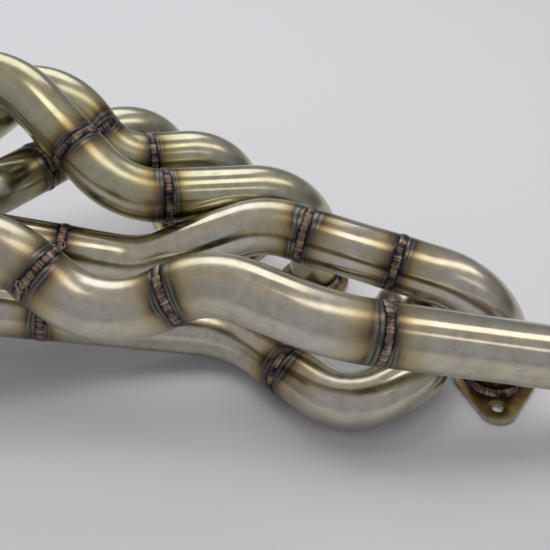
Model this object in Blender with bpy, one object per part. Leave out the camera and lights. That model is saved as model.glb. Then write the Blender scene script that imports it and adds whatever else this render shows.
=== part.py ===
"""Six-cylinder racing exhaust header, in metres, +Z up.

Six thin steel primaries stand on their own two-bolt port flanges, which lie on the bench in one row along X.
Each primary is welded from bends and straights. They gather in two groups of three, and each group slips into
a three-into-one collector, which springs hold on. The finished header is moved so that the centre of its
footprint is the origin.
"""

import math

import bmesh
import bpy
from mathutils import Matrix, Vector

MM = 0.001
GAP = 0.3 * MM                      # between pieces that touch

# Ports and their flanges
PORT_PITCH = 91 * MM
FLANGE_THICKNESS = 4 * MM
BOLT_SPACING = 70 * MM
BOLT_HOLE_DIAMETER = 8.5 * MM
FLANGE_LOBE_RADIUS = 14 * MM
FLANGE_WAIST_RADIUS = 31 * MM
FLANGE_TURN = math.radians(-55)     # the bolt line, turned from the port row

# Primary tubes
TUBE_DIAMETER = 42 * MM
TUBE_WALL = 1.5 * MM
BEND_RADIUS = 63 * MM               # one and a half diameters, the usual bend
PORT_B_BEND_RADIUS = 50 * MM
TIGHT_BEND_RADIUS = 40 * MM         # the short bends that turn tube F round under tube D
EASY_BEND_RADIUS = 120 * MM

# Slip-on collectors
COLLECTOR_TURN = math.radians(225)  # the way they point, in plan
COLLECTOR_FALL = math.radians(12)   # how steeply they fall to the bench
SOCKET_CLEARANCE = 0.4 * MM
SOCKET_DEPTH = 42 * MM
SLIP_DEPTH = 30 * MM                # how far a primary goes into its socket
CONE_LENGTH = 105 * MM
NECK_LENGTH = 24 * MM
OUTLET_DIAMETER = 63.5 * MM
OUTLET_TUBE_LENGTH = 60 * MM
COLLECTOR_WALL = 1.5 * MM
MERGED_OFFSET = 0.25                # how far out the three lobes still stand where they meet the neck
CONE_OVERLAP = 45 * MM              # length of the cone that rounds them into the neck
VBAND_DIAMETER = 84 * MM
VBAND_THICKNESS = 8 * MM
VBAND_LIP = 3 * MM                  # the rim's thickness at its edge
VBAND_FOOT = 1 * MM                 # how far the rim's back stands out over the outlet tube
VBAND_STEP = 4 * MM                 # the flat behind the lip, where the band clamp sits
LEAD_IN = 60 * MM                   # straight run of a primary in line with its socket

# Springs and the tabs they hook to
TAB_THICKNESS = 2 * MM
TAB_WIDTH = 12 * MM
TAB_HOLE_DIAMETER = 5 * MM
SPRING_REACH = 8 * MM               # spring axis above the tube's surface
SPRING_LENGTH = 60 * MM             # from tab hole to tab hole
SPRING_OVERHANG = 38 * MM           # from the primary's tab hole to the socket's mouth
SPRING_RADIUS = 4.5 * MM
WIRE_DIAMETER = 1.8 * MM
SPRING_TURNS = 5
SPRING_HOOK_LEG = 8.5 * MM          # from a tab hole to the nearest turn
HOOK_START = 250                    # degrees round the hook, where the wire ends
HOOK_SWEEP = 160                    # degrees

# Facets
TUBE_SIDES = 16
NECK_SIDES = 24
BOLT_HOLE_SIDES = 12
TAB_HOLE_SIDES = 10
TAB_ARC_STEPS = 6
LOBE_STEPS = 8                      # round each end of a flange
WAIST_STEPS = 4                     # round each side of its middle
BEND_STEP = math.radians(17)
WIRE_SIDES = 4
TURN_STEPS = 7                      # in a turn of a spring

STEEL = (0.56, 0.54, 0.49, 1)
PLATE = (0.45, 0.38, 0.24, 1)
BRIGHT_STEEL = (0.63, 0.62, 0.60, 1)

for leftover in list(bpy.data.objects):
    bpy.data.objects.remove(leftover)


def material(name, colour, roughness):
    made = bpy.data.materials.new(name)
    made.use_nodes = True
    shader = made.node_tree.nodes["Principled BSDF"]
    shader.inputs["Base Color"].default_value = colour
    shader.inputs["Metallic"].default_value = 1
    shader.inputs["Roughness"].default_value = roughness
    return made


def add_piece(name, shape, finish, smooth_angle=math.radians(40)):
    """Turn a bmesh into a named object of its own."""
    bmesh.ops.recalc_face_normals(shape, faces=shape.faces)
    mesh = bpy.data.meshes.new(name)
    shape.to_mesh(mesh)
    shape.free()
    mesh.shade_smooth()
    mesh.set_sharp_from_angle(angle=smooth_angle)
    mesh.materials.append(finish)
    piece = bpy.data.objects.new(name, mesh)
    bpy.context.scene.collection.objects.link(piece)
    return piece


# Routes: a route is a list of corners, with a bend radius at each corner between its two ends.

def route_runs(corners, radii):
    """Split a route into straights and arcs, each with its length first and then what place_on needs."""
    runs = []
    start = corners[0]
    for before, corner, after, radius in zip(corners, corners[1:], corners[2:], radii):
        arriving = (corner - before).normalized()
        leaving = (after - corner).normalized()
        turn = arriving.angle(leaving)
        setback = radius * math.tan(turn / 2)
        bend_start = corner - arriving * setback
        runs.append(("straight", (bend_start - start).length, start, arriving))
        inward = (leaving - arriving * math.cos(turn)).normalized()
        runs.append(("bend", radius * turn, bend_start, arriving, inward, radius))
        start = corner + leaving * setback
    last = corners[-1] - start
    runs.append(("straight", last.length, start, last.normalized()))
    return runs


def place_on(run, distance):
    if run[0] == "straight":
        return run[2] + run[3] * distance, run[3]
    _, _, start, arriving, inward, radius = run
    turn = distance / radius
    centre = start + arriving * (radius * math.sin(turn)) + inward * (radius * (1 - math.cos(turn)))
    return centre, arriving * math.cos(turn) + inward * math.sin(turn)


def stations(runs, low, high):
    """Centres and directions between two distances, one at each run's end and several round each bend."""
    places = []
    base = 0
    for run in runs:
        length = run[1]
        first = max(low, base)
        last = min(high, base + length)
        if last - first > 1e-6:
            count = 1
            if run[0] == "bend":
                count = max(1, math.ceil((last - first) / run[5] / BEND_STEP))
            for index in range(count + 1):
                at = first + (last - first) * index / count
                centre, direction = place_on(run, at - base)
                if not places or (centre - places[-1][0]).length > 1e-5:
                    places.append((centre, direction))
        base += length
    return places


def carry_frames(places, side):
    """Carry one side direction along the places without twist."""
    frames = []
    previous = places[0][1]
    for centre, direction in places:
        side = previous.rotation_difference(direction) @ side
        side = (side - direction * side.dot(direction)).normalized()
        frames.append((centre, side, direction.cross(side)))
        previous = direction
    return frames


def ring(shape, centre, side, other, radius, count):
    return [
        shape.verts.new(centre + (side * math.cos(a) + other * math.sin(a)) * radius)
        for a in (2 * math.pi * index / count for index in range(count))
    ]


def bridge(shape, first, second):
    count = len(first)
    for index in range(count):
        after = (index + 1) % count
        shape.faces.new((first[index], first[after], second[after], second[index]))


def swept(frames, radius, count):
    """A solid rod of constant radius along the frames."""
    shape = bmesh.new()
    rings = [ring(shape, *frame, radius, count) for frame in frames]
    for first, second in zip(rings, rings[1:]):
        bridge(shape, first, second)
    shape.faces.new(rings[0])
    shape.faces.new(rings[-1])
    return shape


def pipe(frames, outer_radius, inner_radius, count):
    """A hollow tube along the frames, open at both ends."""
    shape = bmesh.new()
    outer = [ring(shape, *frame, outer_radius, count) for frame in frames]
    inner = [ring(shape, *frame, inner_radius, count) for frame in frames]
    for skin in (outer, inner):
        for first, second in zip(skin, skin[1:]):
            bridge(shape, first, second)
    bridge(shape, outer[0], inner[0])
    bridge(shape, outer[-1], inner[-1])
    return shape


def boolean(target, cutter, operation):
    """Apply a Boolean and remove the tool. EXACT leaves a collector's body open where its lobes meet."""
    cutter.hide_render = True
    cutter.display_type = "WIRE"
    modifier = target.modifiers.new(operation, "BOOLEAN")
    modifier.operation = operation
    modifier.solver = "MANIFOLD"
    modifier.object = cutter
    graph = bpy.context.evaluated_depsgraph_get()
    made = bpy.data.meshes.new_from_object(target.evaluated_get(graph))
    target.modifiers.clear()
    target.data = made
    bpy.data.objects.remove(cutter)


# Flanges

def flange_outline():
    """A two-bolt diamond: a round waist between two round lobes, joined by tangents."""
    half = BOLT_SPACING / 2
    slope = math.asin((FLANGE_WAIST_RADIUS - FLANGE_LOBE_RADIUS) / half)
    points = []
    for centre, radius, first, last, steps in (
        (half, FLANGE_LOBE_RADIUS, slope - math.pi / 2, math.pi / 2 - slope, LOBE_STEPS),
        (0, FLANGE_WAIST_RADIUS, math.pi / 2 - slope, math.pi / 2 + slope, WAIST_STEPS),
        (-half, FLANGE_LOBE_RADIUS, math.pi / 2 + slope, 3 * math.pi / 2 - slope, LOBE_STEPS),
        (0, FLANGE_WAIST_RADIUS, 3 * math.pi / 2 - slope, 3 * math.pi / 2 + slope, WAIST_STEPS),
    ):
        for index in range(steps):
            angle = first + (last - first) * (index + 0.5) / steps
            points.append((centre + radius * math.cos(angle), radius * math.sin(angle)))
    return points


def disc(shape, x, y, radius, count, height):
    return [
        shape.verts.new((x + radius * math.cos(a), y + radius * math.sin(a), height))
        for a in (2 * math.pi * index / count for index in range(count))
    ]


def plate_with_holes(outline, holes, thickness):
    """A flat plate from z = 0 up, with round holes (x, y, radius, sides) through it."""
    shape = bmesh.new()
    loops = {}
    for height in (0, thickness):
        rims = [[shape.verts.new((x, y, height)) for x, y in outline]]
        rims += [disc(shape, *hole, height) for hole in holes]
        edges = []
        for rim in rims:
            edges += [shape.edges.new((rim[i - 1], rim[i])) for i in range(len(rim))]
        bmesh.ops.triangle_fill(shape, use_beauty=True, use_dissolve=False, edges=edges)
        loops[height] = rims
    for low, high in zip(loops[0], loops[thickness]):
        bridge(shape, low, high)
    return shape


def build_flange(name, port):
    half = BOLT_SPACING / 2
    holes = [(0, 0, TUBE_DIAMETER / 2 - TUBE_WALL, TUBE_SIDES)]
    holes += [(end, 0, BOLT_HOLE_DIAMETER / 2, BOLT_HOLE_SIDES) for end in (-half, half)]
    shape = plate_with_holes(flange_outline(), holes, FLANGE_THICKNESS)
    bmesh.ops.transform(shape, verts=shape.verts, matrix=Matrix.Rotation(FLANGE_TURN, 4, "Z"))
    bmesh.ops.translate(shape, verts=shape.verts, vec=port)
    return add_piece(name, shape, flange_steel)


# Primaries: each corner is (x in port pitches from the middle of the row, y in mm, z in mm), and each weld is
# (bend, share), a share of the way along the straight that follows that bend.

PRIMARIES = (
    dict(cylinder=1, height=116, corners=((-2.66, -85, 107), (-2.48, -210, 110), (-3.4, -275, 95)),
         radii=(BEND_RADIUS,) * 5, welds=((2, 0.55),), pieces=("port_bend", "tail")),
    dict(cylinder=2, height=100, corners=((-2.07, -90, 111), (-2.62, -106, 187), (-3.79, -202, 86)),
         radii=(PORT_B_BEND_RADIUS,) * 3 + (BEND_RADIUS,) * 2, welds=((1, 1), (2, 0)),
         pieces=("port_bend", "offset_bend", "tail")),
    dict(cylinder=3, height=98, corners=((-1.37, -132, 120), (-2.7, -148, 207), (-3.66, -249, 131)),
         radii=(BEND_RADIUS,) * 5, welds=((1, 1), (2, 0.3)), pieces=("port_bend", "offset_bend", "tail")),
    dict(cylinder=4, height=60,
         corners=((1.23, -48, 34), (0.96, -117, 21.5), (-0.35, -111, 22), (-2.34, -305, 83)),
         radii=(TIGHT_BEND_RADIUS,) * 3 + (BEND_RADIUS,) * 3, welds=((3, 0.5), (4, 0.5)),
         pieces=("port_loop", "low_run", "tail")),
    dict(cylinder=5, height=80, corners=((-0.3, -78, 112), (-1.1, -142, 74), (-2.74, -290, 129)),
         radii=(BEND_RADIUS,) * 5, welds=((1, 0.27), (1, 0.89), (3, 0.23)),
         pieces=("port_bend", "straight", "s_bend", "tail")),
    dict(cylinder=6, height=69,
         corners=((0.95, -137, 115), (0.08, -164, 129), (-0.44, -222, 99), (-1.16, -244, 148),
                  (-2.37, -326, 146)),
         radii=(BEND_RADIUS, EASY_BEND_RADIUS) + (BEND_RADIUS,) * 5, welds=((1, 0.97), (3, 0.2), (4, 0.55)),
         pieces=("port_bend", "hump", "dip", "tail")),
)

# Collectors: (x in port pitches, y in mm) of the middle of the sockets' mouths, and the cylinders served,
# from the top socket round.
COLLECTORS = (
    dict(name="collector_1", x=-4.6, y=-345, cylinders=(3, 2, 1)),
    dict(name="collector_2", x=-3.7, y=-428, cylinders=(6, 5, 4)),
)

SOCKET_BORE = TUBE_DIAMETER / 2 + SOCKET_CLEARANCE
SOCKET_PITCH = 2 * SOCKET_BORE + COLLECTOR_WALL
BODY_LENGTH = SOCKET_DEPTH + CONE_LENGTH + NECK_LENGTH
COLLECTOR_LENGTH = BODY_LENGTH + OUTLET_TUBE_LENGTH + VBAND_THICKNESS + 2 * GAP
AXIS = Vector((math.cos(COLLECTOR_TURN) * math.cos(COLLECTOR_FALL),
               math.sin(COLLECTOR_TURN) * math.cos(COLLECTOR_FALL), -math.sin(COLLECTOR_FALL)))
UP = (Vector((0, 0, 1)) - AXIS * AXIS.z).normalized()
SIDE = AXIS.cross(UP)


def port_of(cylinder):
    return Vector(((cylinder - 3.5) * PORT_PITCH, 0, 0))


def collector_mouth(collector):
    """The middle of the socket mouths: so high that the outlet's rim rests on the bench."""
    outlet_height = VBAND_DIAMETER / 2 * math.cos(COLLECTOR_FALL)
    height = outlet_height + COLLECTOR_LENGTH * math.sin(COLLECTOR_FALL)
    return Vector((collector["x"] * PORT_PITCH, collector["y"] * MM, height))


def socket_direction(index):
    turn = 2 * math.pi * index / 3
    return UP * math.cos(turn) + SIDE * math.sin(turn)


def socket_offset(index):
    return socket_direction(index) * (SOCKET_PITCH / math.sqrt(3))


def socket_of(cylinder):
    for collector in COLLECTORS:
        if cylinder in collector["cylinders"]:
            return collector_mouth(collector) + socket_offset(collector["cylinders"].index(cylinder))


def primary_route(primary):
    port = port_of(primary["cylinder"])
    socket = socket_of(primary["cylinder"])
    corners = [port, port + Vector((0, 0, primary["height"] * MM))]
    corners += [Vector((x * PORT_PITCH, y * MM, z * MM)) for x, y, z in primary["corners"]]
    corners += [socket - AXIS * LEAD_IN, socket + AXIS * SLIP_DEPTH]
    return route_runs(corners, primary["radii"])


def weld_distance(runs, bend, share):
    before = sum(run[1] for run in runs[:2 * bend])
    return before + runs[2 * bend][1] * share


def build_primary(primary):
    runs = primary_route(primary)
    total = sum(run[1] for run in runs)
    cuts = [weld_distance(runs, bend, share) for bend, share in primary["welds"]]
    starts = [FLANGE_THICKNESS + GAP] + [cut + GAP / 2 for cut in cuts]
    ends = [cut - GAP / 2 for cut in cuts] + [total]
    for piece, low, high in zip(primary["pieces"], starts, ends):
        places = stations(runs, low, high)
        places = [(centre, -direction) for centre, direction in reversed(places)]
        outer = TUBE_DIAMETER / 2
        shape = pipe(carry_frames(places, UP), outer, outer - TUBE_WALL, TUBE_SIDES)
        add_piece(f"primary_{primary['cylinder']}_{piece}", shape, tube_steel)


# Collectors

def turned(mouth, profile, count):
    """A closed rod through (distance, offset, radius) rings square to the collector's axis."""
    shape = bmesh.new()
    rings = [ring(shape, mouth + AXIS * along + offset, UP, SIDE, radius, count)
             for along, offset, radius in profile]
    for first, second in zip(rings, rings[1:]):
        bridge(shape, first, second)
    shape.faces.new(rings[0])
    shape.faces.new(rings[-1])
    return shape


def merged(name, mouth, shrink, start, sockets):
    """Three sockets that run together into one outlet, as a closed solid, with every radius less shrink."""
    merge_end = SOCKET_DEPTH + CONE_LENGTH
    inside_throat = 1 * MM          # keeps the lobes' ends inside the neck
    throat = OUTLET_DIAMETER / 2 - shrink
    radius = SOCKET_BORE + COLLECTOR_WALL - shrink
    middle = Vector((0, 0, 0))
    profiles = []
    sides = [TUBE_SIDES] * len(sockets) + [NECK_SIDES]
    for offset in sockets:
        last = offset * MERGED_OFFSET
        profiles.append([(start, offset, radius), (SOCKET_DEPTH, offset, radius),
                         (merge_end, last, throat - last.length - inside_throat)])
    profiles.append([(merge_end - CONE_OVERLAP, middle, radius), (merge_end, middle, throat),
                     (BODY_LENGTH - start, middle, throat)])
    whole = None
    for profile, count in zip(profiles, sides):
        lobe = add_piece(name, turned(mouth, profile, count), collector_steel)
        if whole is None:
            whole = lobe
        else:
            boolean(whole, lobe, "UNION")
    return whole


def build_collector(collector):
    name = collector["name"]
    mouth = collector_mouth(collector)
    sockets = [socket_offset(index) for index in range(3)]
    body = merged(name + "_body", mouth, 0, 0, sockets)
    overrun = 1 * MM                # the hollow runs out through both ends
    hollow = merged("hollow", mouth, COLLECTOR_WALL, -overrun, sockets)
    boolean(body, hollow, "DIFFERENCE")
    body.data.shade_smooth()
    body.data.set_sharp_from_angle(angle=math.radians(30))

    outer = OUTLET_DIAMETER / 2
    inner = outer - COLLECTOR_WALL
    start = BODY_LENGTH + GAP
    frames = [(mouth + AXIS * along, UP, SIDE) for along in (start, start + OUTLET_TUBE_LENGTH)]
    tube = add_piece(name + "_outlet_tube", pipe(frames, outer, inner, NECK_SIDES), tube_steel)

    start += OUTLET_TUBE_LENGTH + GAP
    shape = bmesh.new()
    rim = VBAND_DIAMETER / 2
    profile = [(0, inner), (0, outer + VBAND_FOOT), (VBAND_THICKNESS - VBAND_LIP, rim - VBAND_STEP),
               (VBAND_THICKNESS - VBAND_LIP, rim), (VBAND_THICKNESS, rim), (VBAND_THICKNESS, inner)]
    rings = [ring(shape, mouth + AXIS * (start + along), UP, SIDE, radius, NECK_SIDES)
             for along, radius in profile]
    for first, second in zip(rings, rings[1:] + rings[:1]):
        bridge(shape, first, second)
    flange = add_piece(name + "_outlet_flange", shape, flange_steel)
    tabs = [build_tab(f"{name}_tab_{cylinder}", mouth + sockets[index], socket_direction(index),
                      SPRING_LENGTH - SPRING_OVERHANG, SOCKET_BORE + COLLECTOR_WALL)
            for index, cylinder in enumerate(collector["cylinders"])]
    holder = bpy.data.objects.new(name + "_slide", None)
    bpy.context.scene.collection.objects.link(holder)
    holder.location = mouth
    bpy.context.view_layer.update()
    for piece in [body, tube, flange] + tabs:
        piece.parent = holder
        piece.matrix_parent_inverse = holder.matrix_world.inverted()


# Spring tabs and springs

def build_tab(name, centre, outward, along, surface_radius):
    """A rounded ear with one hole, standing on a tube with its hole at the spring's axis."""
    hole_height = TUBE_DIAMETER / 2 + SPRING_REACH - surface_radius - GAP
    half = TAB_WIDTH / 2
    outline = [(-half, 0), (half, 0)]
    outline += [(half * math.cos(a), hole_height + half * math.sin(a))
                for a in (math.pi * index / TAB_ARC_STEPS for index in range(TAB_ARC_STEPS + 1))]
    hole = (0, hole_height, TAB_HOLE_DIAMETER / 2, TAB_HOLE_SIDES)
    shape = plate_with_holes(outline, [hole], TAB_THICKNESS)
    across = AXIS.cross(outward)
    foot = centre + AXIS * along + outward * (surface_radius + GAP) - across * (TAB_THICKNESS / 2)
    turn = Matrix((AXIS, outward, across)).transposed().to_4x4()
    bmesh.ops.transform(shape, verts=shape.verts, matrix=Matrix.Translation(foot) @ turn)
    return add_piece(name, shape, collector_steel)


def spring_path():
    """An extension spring from tab hole to tab hole, as (along, across, outward) from its first hole."""
    radius = SPRING_RADIUS
    leg = SPRING_HOOK_LEG
    hook = []
    for index in range(TURN_STEPS + 1):
        angle = math.radians(HOOK_START - HOOK_SWEEP * index / TURN_STEPS)
        hook.append((radius + radius * math.cos(angle), radius * math.sin(angle), 0))
    coils = []
    count = SPRING_TURNS * TURN_STEPS
    for index in range(count + 1):
        angle = math.pi / 2 + 2 * math.pi * SPRING_TURNS * index / count
        along = leg + (SPRING_LENGTH - 2 * leg) * index / count
        coils.append((along, radius * math.sin(angle), radius * math.cos(angle)))
    far_hook = [(SPRING_LENGTH - along, across, out) for along, across, out in reversed(hook)]
    return hook + coils + far_hook


def build_spring(name, centre, outward):
    across = AXIS.cross(outward)
    first_hole = centre - AXIS * SPRING_OVERHANG + outward * (TUBE_DIAMETER / 2 + SPRING_REACH)
    points = [first_hole + AXIS * a + across * t + outward * h for a, t, h in spring_path()]
    places = []
    for index, point in enumerate(points):
        before = points[max(index - 1, 0)]
        after = points[min(index + 1, len(points) - 1)]
        places.append((point, (after - before).normalized()))
    wire = swept(carry_frames(places, outward), WIRE_DIAMETER / 2, WIRE_SIDES)
    return add_piece(name, wire, spring_steel)


tube_steel = material("satin stainless tube", STEEL, 0.32)
flange_steel = material("heat-tinted stainless plate", PLATE, 0.38)
collector_steel = material("formed stainless sheet", STEEL, 0.35)
spring_steel = material("bright spring wire", BRIGHT_STEEL, 0.22)

for primary in PRIMARIES:
    build_flange(f"port_flange_{primary['cylinder']}", port_of(primary["cylinder"]))
    build_primary(primary)

for collector in COLLECTORS:
    build_collector(collector)
    for index, cylinder in enumerate(collector["cylinders"]):
        socket = socket_of(cylinder)
        outward = socket_direction(index)
        build_tab(f"primary_{cylinder}_tab", socket, outward, -SPRING_OVERHANG, TUBE_DIAMETER / 2)
        build_spring(f"spring_{cylinder}", socket, outward)

# Stand the header on its footprint's centre.
bpy.context.view_layer.update()
corners = [piece.matrix_world @ vertex.co for piece in bpy.data.objects if piece.type == "MESH"
           for vertex in piece.data.vertices]
low = Vector([min(corner[axis] for corner in corners) for axis in range(3)])
high = Vector([max(corner[axis] for corner in corners) for axis in range(3)])
footprint = Vector(((low.x + high.x) / 2, (low.y + high.y) / 2, low.z))
for piece in bpy.data.objects:
    if piece.parent is None:
        piece.location -= footprint
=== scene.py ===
import math

import bmesh
import bpy
from mathutils import Matrix, Vector


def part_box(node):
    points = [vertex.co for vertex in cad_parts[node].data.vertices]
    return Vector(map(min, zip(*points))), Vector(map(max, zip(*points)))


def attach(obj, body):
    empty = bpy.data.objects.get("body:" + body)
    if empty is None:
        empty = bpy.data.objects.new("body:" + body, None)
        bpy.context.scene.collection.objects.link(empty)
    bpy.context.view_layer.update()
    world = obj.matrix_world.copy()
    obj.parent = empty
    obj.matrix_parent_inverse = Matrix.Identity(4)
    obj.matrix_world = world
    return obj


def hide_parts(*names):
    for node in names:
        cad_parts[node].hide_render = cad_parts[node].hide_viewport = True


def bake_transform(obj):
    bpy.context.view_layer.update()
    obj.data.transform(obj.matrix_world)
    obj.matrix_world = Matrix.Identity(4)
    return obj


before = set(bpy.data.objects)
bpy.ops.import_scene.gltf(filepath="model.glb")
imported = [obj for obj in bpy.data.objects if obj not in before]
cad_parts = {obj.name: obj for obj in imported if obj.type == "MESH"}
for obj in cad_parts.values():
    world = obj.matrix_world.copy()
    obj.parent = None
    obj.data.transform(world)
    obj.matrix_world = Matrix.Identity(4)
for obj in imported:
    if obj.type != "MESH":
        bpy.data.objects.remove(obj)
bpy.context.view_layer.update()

# Primary tubes: six runs of 42 mm 304 stainless tube with a 1.5 mm wall, mandrel bent in short lengths. They are cut
# square and TIG welded end to end, so the satin skin turns blue, brown and straw on both sides of each weld. Each one
# leaves its port straight up, and ends 30 mm inside its collector's socket.
MM = 0.001
TUBE_RADIUS = 21 * MM
TUBE_WALL = 1.5 * MM
TUBE_SIDES = 56
BEND_POINTS = 32                    # round each bend, before the route is divided evenly
RING_SPACING = 5 * MM
JOIN_GAP = 0.3 * MM                 # between two lengths, under the bead
FLANGE_THICKNESS = 4 * MM
UNWELDED = 1.0                      # stands for a weld that is a metre away, where an end has none
BEND = 63 * MM                      # bend radius on the tube's centre line
SHORT_BEND = 50 * MM
TIGHT_BEND = 40 * MM
EASY_BEND = 120 * MM

# Each corner is (x in port pitches from the middle of the row, y and z in mm), and each weld is (bend, share), a share
# of the way along the straight that follows that bend.
PRIMARIES = {
    1: dict(height=116, corners=((-2.66, -85, 107), (-2.48, -210, 110), (-3.4, -275, 95)),
            radii=(BEND,) * 5, welds=((2, 0.55),), lengths=("port_bend", "tail")),
    2: dict(height=100, corners=((-2.07, -90, 111), (-2.62, -106, 187), (-3.79, -202, 86)),
            radii=(SHORT_BEND,) * 3 + (BEND,) * 2, welds=((1, 1), (2, 0)),
            lengths=("port_bend", "offset_bend", "tail")),
    3: dict(height=98, corners=((-1.37, -132, 120), (-2.7, -148, 207), (-3.66, -249, 131)),
            radii=(BEND,) * 5, welds=((1, 1), (2, 0.3)), lengths=("port_bend", "offset_bend", "tail")),
    4: dict(height=60, corners=((1.23, -48, 34), (0.96, -117, 21.5), (-0.35, -111, 22), (-2.34, -305, 83)),
            radii=(TIGHT_BEND,) * 3 + (BEND,) * 3, welds=((3, 0.5), (4, 0.5)),
            lengths=("port_loop", "low_run", "tail")),
    5: dict(height=80, corners=((-0.3, -78, 112), (-1.1, -142, 74), (-2.74, -290, 129)),
            radii=(BEND,) * 5, welds=((1, 0.27), (1, 0.89), (3, 0.23)),
            lengths=("port_bend", "straight", "s_bend", "tail")),
    6: dict(height=69, corners=((0.95, -137, 115), (0.08, -164, 129), (-0.44, -222, 99), (-1.16, -244, 148),
                                (-2.37, -326, 146)),
            radii=(BEND, EASY_BEND) + (BEND,) * 5, welds=((1, 0.97), (3, 0.2), (4, 0.55)),
            lengths=("port_bend", "hump", "dip", "tail")),
}


def middle_of(node):
    low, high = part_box(node)
    return Vector(((low.x + high.x) / 2, (low.y + high.y) / 2, 0))


PORTS = {number: middle_of(f"port_flange_{number}") for number in PRIMARIES}
PORT_PITCH = (PORTS[6].x - PORTS[1].x) / 5
ROW_MIDDLE = (PORTS[1] + PORTS[6]) / 2

# The collectors' sockets, which the primaries' ends lie in.
COLLECTOR_TURN = math.radians(225)
COLLECTOR_FALL = math.radians(12)
AXIS = Vector((math.cos(COLLECTOR_TURN) * math.cos(COLLECTOR_FALL),
               math.sin(COLLECTOR_TURN) * math.cos(COLLECTOR_FALL), -math.sin(COLLECTOR_FALL)))
UP = (Vector((0, 0, 1)) - AXIS * AXIS.z).normalized()
SIDE = AXIS.cross(UP)
SOCKET_RADIUS = 22.9 * MM           # outside
SOCKET_OFFSET = 44.3 * MM / math.sqrt(3)
LEAD_IN = 60 * MM
SLIP_DEPTH = 30 * MM
MOUTH_HEIGHT = 90.898 * MM
MOUTHS = {1: ROW_MIDDLE + Vector((-4.6 * PORT_PITCH, -345 * MM, MOUTH_HEIGHT)),
          2: ROW_MIDDLE + Vector((-3.7 * PORT_PITCH, -428 * MM, MOUTH_HEIGHT))}
SERVED = {1: (3, 2, 1), 2: (6, 5, 4)}


def socket_direction(number):
    turn = next(cylinders.index(number) for cylinders in SERVED.values() if number in cylinders) * math.tau / 3
    return UP * math.cos(turn) + SIDE * math.sin(turn)


def socket_of(number):
    mouth = next(MOUTHS[name] for name, cylinders in SERVED.items() if number in cylinders)
    return mouth + socket_direction(number) * SOCKET_OFFSET


def corners_of(number):
    primary = PRIMARIES[number]
    socket = socket_of(number)
    corners = [PORTS[number], PORTS[number] + Vector((0, 0, primary["height"] * MM))]
    corners += [ROW_MIDDLE + Vector((x * PORT_PITCH, y * MM, z * MM)) for x, y, z in primary["corners"]]
    return corners + [socket - AXIS * LEAD_IN, socket + AXIS * SLIP_DEPTH]


def straights_of(number):
    """(distance at which it starts, start, direction, length) of each straight between a route's bends, and the
    route's whole length."""
    corners = corners_of(number)
    straights = []
    start = corners[0]
    distance = 0
    for before, corner, after, radius in zip(corners, corners[1:], corners[2:], PRIMARIES[number]["radii"]):
        arriving = (corner - before).normalized()
        leaving = (after - corner).normalized()
        turn = arriving.angle(leaving)
        setback = radius * math.tan(turn / 2)
        length = (corner - arriving * setback - start).length
        straights.append((distance, start, arriving, length))
        distance += length + radius * turn
        start = corner + leaving * setback
    length = (corners[-1] - start).length
    straights.append((distance, start, (corners[-1] - start).normalized(), length))
    return straights, distance + length


def welds_of(number):
    """(distance along the tube, centre, direction) of each weld of a primary."""
    straights, _ = straights_of(number)
    found = []
    for bend, share in PRIMARIES[number]["welds"]:
        distance, start, direction, length = straights[bend]
        found.append((distance + length * share, start + direction * (length * share), direction))
    return found


def srgb(code):
    """An sRGB hex colour as the linear RGBA that sockets take."""
    channels = [int(code[place:place + 2], 16) / 255 for place in (1, 3, 5)]
    return (*[c / 12.92 if c <= 0.04045 else ((c + 0.055) / 1.055) ** 2.4 for c in channels], 1)


def add_node(tree, kind, inputs=None, stops=None, **settings):
    """A node with its settings and a ramp's stops, and its inputs set to values or linked to other sockets."""
    node = tree.nodes.new(kind)
    for name, value in settings.items():
        setattr(node, name, value)
    for place, value in (inputs or {}).items():
        if isinstance(value, bpy.types.NodeSocket):
            tree.links.new(value, node.inputs[place])
        else:
            node.inputs[place].default_value = value
    for index, (place, colour, alpha) in enumerate(stops or ()):
        element = node.color_ramp.elements[index] if index < 2 else node.color_ramp.elements.new(place)
        element.position = place
        element.color = (*srgb(colour)[:3], alpha)
    return node


def attribute_of(tree, name, kind="Fac"):
    return add_node(tree, "ShaderNodeAttribute", attribute_name=name).outputs[kind]


def noise(tree, place, scale, detail, **inputs):
    """A cloudy value, mostly 0.3 to 0.7, that varies over about 1 / scale metres."""
    return add_node(tree, "ShaderNodeTexNoise", {
        "Vector": place, "Scale": scale, "Detail": detail, **inputs}).outputs["Fac"]


def calculate(tree, operation, *values):
    return add_node(tree, "ShaderNodeMath", dict(enumerate(values)), operation=operation).outputs[0]


def remapped(tree, value, low, high, bottom=0, top=1):
    """Turns bottom to top into low to high, and clamps what lies outside."""
    return add_node(tree, "ShaderNodeMapRange", {
        "Value": value, "From Min": bottom, "From Max": top, "To Min": low, "To Max": high}).outputs[0]


def ramp(tree, share, stops):
    return add_node(tree, "ShaderNodeValToRGB", {"Fac": share}, stops=stops).outputs


def mixed(tree, share, first, second, blend="MIX"):
    return add_node(tree, "ShaderNodeMix", {0: share, 6: first, 7: second},
                    data_type="RGBA", blend_type=blend).outputs[2]


def bump(tree, height, strength, depth):
    return add_node(tree, "ShaderNodeBump", {
        "Height": height, "Strength": strength, "Distance": depth}).outputs[0]


def new_material(name):
    made = bpy.data.materials.new(name)
    made.use_nodes = True
    made.node_tree.nodes.clear()
    return made, made.node_tree


def end_metal(tree, colour, roughness, **inputs):
    """The metal shader and the output, which end each metal's material."""
    shader = add_node(tree, "ShaderNodeBsdfPrincipled", {
        "Base Color": colour, "Roughness": roughness, "Metallic": 1, **inputs})
    add_node(tree, "ShaderNodeOutputMaterial", {"Surface": shader.outputs[0]})


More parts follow.
